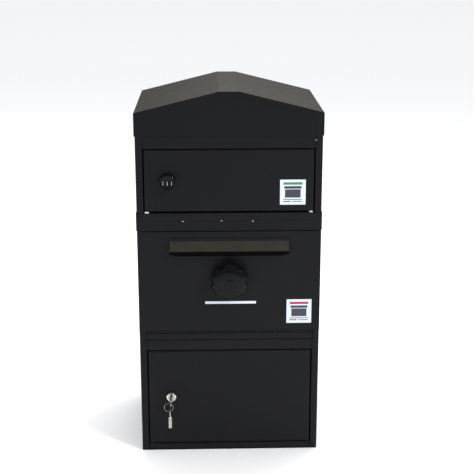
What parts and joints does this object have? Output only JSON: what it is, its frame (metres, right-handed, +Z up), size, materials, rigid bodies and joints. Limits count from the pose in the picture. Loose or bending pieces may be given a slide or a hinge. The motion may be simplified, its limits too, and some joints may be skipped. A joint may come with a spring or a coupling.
{
  "type": "parcel drop box",
  "caption": "Gabled steel parcel box: locking pickup compartment, tilting drop hopper with letter slot, and keyed safe with door.",
  "frame": {"origin": "centre of the underside of the base", "axes": "+X to the right seen from the front, +Y from the front to the back, +Z up"},
  "size_m": [0.4526, 0.4178, 0.925],
  "materials": {
    "powder_coat": "fine-textured black powder coat, satin",
    "zinc_steel": "zinc-plated steel",
    "chrome": "bright chrome plate",
    "nickel": "nickel-plated steel",
    "black_plastic": "moulded black plastic, fine matte",
    "nylon": "natural nylon",
    "rubber": "black rubber sleeve",
    "label": "white vinyl label"
  },
  "bodies": {
    "cabinet": {"lower_case": "powder_coat", "lower_floor": "powder_coat", "lower_bottom_rail": "powder_coat", "lower_top_rail": "powder_coat", "middle_case": "powder_coat", "transfer_frame": "powder_coat", "middle_bottom_rail": "powder_coat", "middle_lid": "powder_coat", "anti_fishing_baffle": "powder_coat", "upper_base_tray": "powder_coat", "upper_case": "powder_coat", "upper_bottom_rail": "powder_coat", "upper_top_rail": "powder_coat", "roof_shell": "powder_coat", "roof_front_gable": "powder_coat", "roof_rear_gable": "powder_coat", "upper_pivot_washer": "nylon", "upper_rest_pad": "nylon", "lower_pivot_washer": "black_plastic", "lower_rest_pad": "black_plastic", "hopper_hinge_fixed_leaf": "powder_coat"},
    "upper_door": {"upper_door": "powder_coat", "upper_door_pin_top": "powder_coat", "upper_door_pin_bottom": "powder_coat", "combination_lock_barrel": "zinc_steel", "combination_lock_nut": "zinc_steel", "upper_label": "label"},
    "combination_head": {"combination_lock_head": "black_plastic", "combination_cam": "zinc_steel", "combination_cam_screw": "zinc_steel"},
    "dial_1": {"combination_dial_1": "black_plastic"},
    "dial_2": {"combination_dial_2": "black_plastic"},
    "dial_3": {"combination_dial_3": "black_plastic"},
    "lower_door": {"lower_door": "powder_coat", "lower_door_pin_top": "powder_coat", "lower_door_pin_bottom": "powder_coat", "cam_lock_barrel": "chrome", "cam_lock_nut": "zinc_steel"},
    "lock_plug": {"cam_lock_plug": "chrome", "cam_lock_cam": "zinc_steel", "cam_lock_cam_screw": "zinc_steel", "key": "nickel"},
    "key_ring": {"key_ring": "nickel"},
    "spare_key": {"spare_key": "nickel"},
    "hopper": {"hopper_door": "powder_coat", "hopper_left_cheek": "powder_coat", "hopper_right_cheek": "powder_coat", "hopper_left_stop": "rubber", "hopper_right_stop": "rubber", "hopper_tray": "powder_coat", "hopper_hinge_moving_leaf": "powder_coat", "hopper_hinge_pin": "zinc_steel", "letter_hood": "powder_coat", "letter_flap_hanger": "zinc_steel", "letter_flap_pin": "zinc_steel", "star_knob": "black_plastic", "knob_stud": "zinc_steel", "knob_nut": "zinc_steel", "middle_label": "label"},
    "letter_flap": {"letter_flap": "powder_coat"}
  },
  "joints": [
    {"name": "upper_door_hinge", "type": "hinge", "parent": "cabinet", "child": "upper_door", "pos_m": [0.1987, -0.176, 0.71], "axis": [0, 0, 1], "range_deg": [0, 105]},
    {"name": "combination_turn", "type": "hinge", "parent": "upper_door", "child": "combination_head", "pos_m": [-0.148, -0.19, 0.709], "axis": [0, 1, 0], "range_deg": [0, 90]},
    {"name": "dial_1_turn", "type": "hinge", "parent": "combination_head", "child": "dial_1", "pos_m": [-0.1584, -0.1949, 0.707], "axis": [1, 0, 0], "continuous": true},
    {"name": "dial_2_turn", "type": "hinge", "parent": "combination_head", "child": "dial_2", "pos_m": [-0.148, -0.1949, 0.707], "axis": [1, 0, 0], "continuous": true},
    {"name": "dial_3_turn", "type": "hinge", "parent": "combination_head", "child": "dial_3", "pos_m": [-0.1376, -0.1949, 0.707], "axis": [1, 0, 0], "continuous": true},
    {"name": "hopper_tilt", "type": "hinge", "parent": "cabinet", "child": "hopper", "pos_m": [0, -0.1829, 0.3244], "axis": [1, 0, 0], "range_deg": [0, 45]},
    {"name": "letter_flap_swing", "type": "hinge", "parent": "hopper", "child": "letter_flap", "pos_m": [0, -0.1797, 0.5534], "axis": [1, 0, 0], "range_deg": [0, 70]},
    {"name": "lower_door_hinge", "type": "hinge", "parent": "cabinet", "child": "lower_door", "pos_m": [0.1987, -0.176, 0.146], "axis": [0, 0, 1], "range_deg": [0, 105]},
    {"name": "cam_lock_turn", "type": "hinge", "parent": "lower_door", "child": "lock_plug", "pos_m": [-0.148, -0.18, 0.148], "axis": [0, 1, 0], "range_deg": [0, 90]},
    {"name": "key_ring_hang", "type": "hinge", "parent": "lock_plug", "child": "key_ring", "pos_m": [-0.148, -0.225, 0.148], "axis": [0, 1, 0], "range_deg": [-60, 0]},
    {"name": "spare_key_swing", "type": "hinge", "parent": "key_ring", "child": "spare_key", "pos_m": [-0.15014, -0.225, 0.12765], "axis": [0, 1, 0], "range_deg": [-25, 25]}
  ],
  "couplings": [
    {"joint": "key_ring_hang", "follows": "cam_lock_turn", "ratio": -0.66667}
  ]
}
